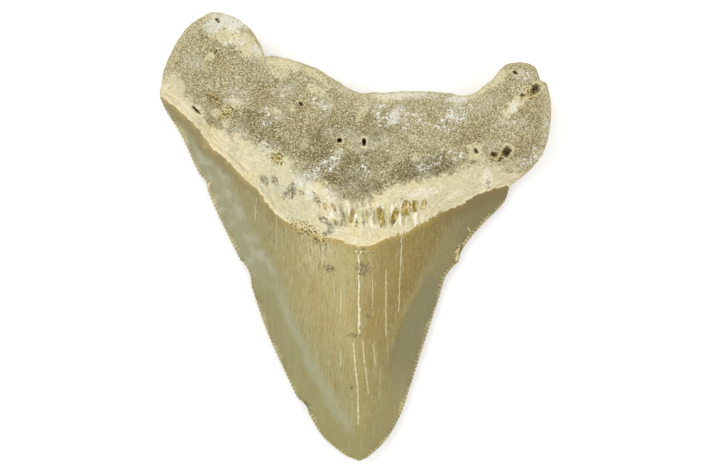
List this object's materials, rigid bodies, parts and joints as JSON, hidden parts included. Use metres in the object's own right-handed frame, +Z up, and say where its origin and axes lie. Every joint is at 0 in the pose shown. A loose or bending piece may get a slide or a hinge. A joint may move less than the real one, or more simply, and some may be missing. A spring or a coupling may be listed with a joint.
{
  "type": "fossil megalodon tooth",
  "caption": "Fossil shark tooth with a triangular serrated crown, a chevron-shaped dental band and a two-lobed porous root, lying on its flatter face.",
  "frame": {"origin": "middle of the tooth's box in plan, on the surface that the tooth lies on", "axes": "+Z up out of the lingual face, +Y from the tip of the crown towards the root, +X to the right seen from above with the root away"},
  "size_m": [0.0646, 0.0742, 0.016],
  "materials": {
    "fossil": "satin enamel on the crown, matt and granular on the root"
  },
  "bodies": {
    "root": {"tooth": "fossil"}
  },
  "joints": []
}
